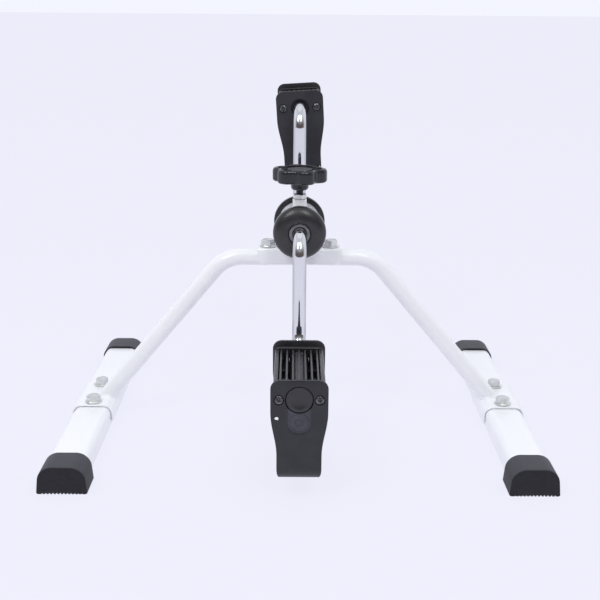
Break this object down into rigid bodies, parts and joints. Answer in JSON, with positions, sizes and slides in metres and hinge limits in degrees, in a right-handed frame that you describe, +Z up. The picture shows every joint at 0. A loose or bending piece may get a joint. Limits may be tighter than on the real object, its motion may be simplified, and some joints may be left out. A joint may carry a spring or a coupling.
{
  "type": "pedal exerciser",
  "caption": "Floor-standing pedal exerciser: a tubular arch on two footed bars carries a bent crank with slatted, strapped pedals and a knob that sets its drag.",
  "frame": {"origin": "on the floor under the middle of the hub, which is the middle of the object's box at its base", "axes": "+X runs along the arch from the left floor bar to the right one, +Y runs along the crank axle and the floor bars from the near pedal to the far pedal, +Z is up"},
  "size_m": [0.4868, 0.4172, 0.3476],
  "materials": {
    "white_paint": "white powder coat, satin gloss",
    "chrome": "bright chrome plate",
    "zinc": "zinc plated steel, slightly dull",
    "black_plastic": "black moulded plastic, fine satin grain",
    "strap_plastic": "flexible black plastic, matt",
    "foot_rubber": "charcoal rubber, matt",
    "grey_plastic": "dark grey moulded plastic",
    "nylon": "natural nylon",
    "leather": "plain brown leather, matt"
  },
  "bodies": {
    "frame": {"arch_tube": "white_paint", "bracket_left_bolt": "zinc", "bracket_left_nut": "zinc", "bracket_right_bolt": "zinc", "bracket_right_nut": "zinc", "far_hub_bushing": "nylon", "far_hub_cap": "black_plastic", "hub_bracket": "white_paint", "hub_shell": "white_paint", "left_base_tube": "white_paint", "left_foot_far": "foot_rubber", "left_foot_near": "foot_rubber", "left_saddle": "white_paint", "left_saddle_far_bolt": "zinc", "left_saddle_far_nut": "zinc", "left_saddle_near_bolt": "zinc", "left_saddle_near_nut": "zinc", "near_hub_bushing": "nylon", "near_hub_cap": "black_plastic", "right_base_tube": "white_paint", "right_foot_far": "foot_rubber", "right_foot_near": "foot_rubber", "right_saddle": "white_paint", "right_saddle_far_bolt": "zinc", "right_saddle_far_nut": "zinc", "right_saddle_near_bolt": "zinc", "right_saddle_near_nut": "zinc", "tension_boss": "white_paint", "tension_lock_nut": "zinc"},
    "crank": {"crank_rod": "chrome", "far_hub_ring": "zinc", "far_push_nut": "zinc", "near_hub_ring": "zinc", "near_push_nut": "zinc"},
    "far_pedal": {"far_dust_cap": "black_plastic", "far_pedal_body": "black_plastic", "far_pedal_sleeve": "grey_plastic", "far_screw_inner_1": "zinc", "far_screw_inner_2": "zinc", "far_screw_outer_1": "zinc", "far_screw_outer_2": "zinc", "far_strap": "strap_plastic"},
    "tension_shoe": {"friction_lining": "leather", "friction_shoe": "nylon"},
    "tension_knob": {"knob_cap": "black_plastic", "tension_knob": "black_plastic", "tension_screw": "zinc"},
    "near_pedal": {"near_dust_cap": "black_plastic", "near_pedal_body": "black_plastic", "near_pedal_sleeve": "grey_plastic", "near_screw_inner_1": "zinc", "near_screw_inner_2": "zinc", "near_screw_outer_1": "zinc", "near_screw_outer_2": "zinc", "near_strap": "strap_plastic"}
  },
  "joints": [
    {"name": "crank_spin", "type": "hinge", "parent": "frame", "child": "crank", "pos_m": [0, 0, 0.2135], "axis": [0, 1, 0], "continuous": true},
    {"name": "near_pedal_spin", "type": "hinge", "parent": "crank", "child": "near_pedal", "pos_m": [0, -0.149, 0.0989], "axis": [0, 1, 0], "continuous": true},
    {"name": "far_pedal_spin", "type": "hinge", "parent": "crank", "child": "far_pedal", "pos_m": [0, 0.149, 0.3281], "axis": [0, 1, 0], "continuous": true},
    {"name": "shoe_travel", "type": "slide", "parent": "frame", "child": "tension_shoe", "axis": [0, 0, 1], "range_m": [-0.0019, 0.00255]},
    {"name": "knob_turn", "type": "hinge", "parent": "tension_shoe", "child": "tension_knob", "pos_m": [0, 0, 0.2614], "axis": [0, 0, 1], "range_deg": [-540, 720]}
  ],
  "couplings": [
    {"joint": "shoe_travel", "follows": "knob_turn", "m_per_rad": 0.00019894}
  ]
}
